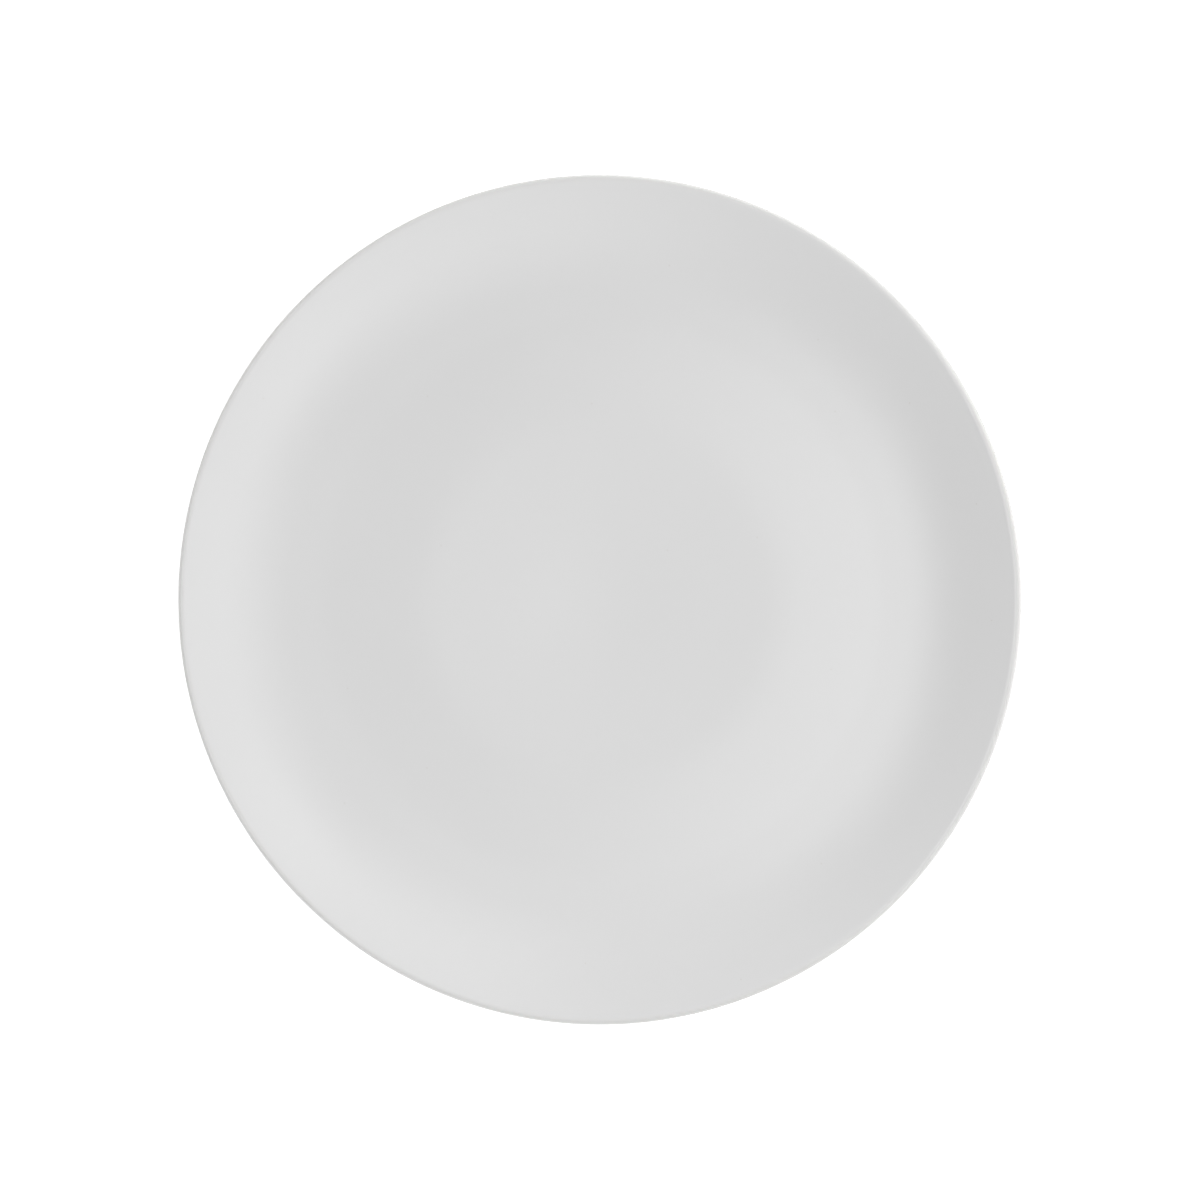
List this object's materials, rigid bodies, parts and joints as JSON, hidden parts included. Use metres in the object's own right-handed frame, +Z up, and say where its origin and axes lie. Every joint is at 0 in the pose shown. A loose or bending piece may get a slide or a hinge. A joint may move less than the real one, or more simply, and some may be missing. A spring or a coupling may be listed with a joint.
{
  "type": "charger plate",
  "caption": "Round white coupe charger plate: level well, gently rising rim with a rounded lip, bare foot ring underneath; goes under a dinner plate at a place setting.",
  "frame": {"origin": "on the table, under the middle of the plate", "axes": "+Z up along the plate's axis of revolution; X and Y are alike"},
  "size_m": [0.32, 0.32, 0.0212],
  "materials": {
    "bare_porcelain": "matte",
    "white_glaze": "satin"
  },
  "bodies": {
    "root": {"porcelain_body": "bare_porcelain", "glaze_coat": "white_glaze", "recess_glaze": "white_glaze"}
  },
  "joints": []
}
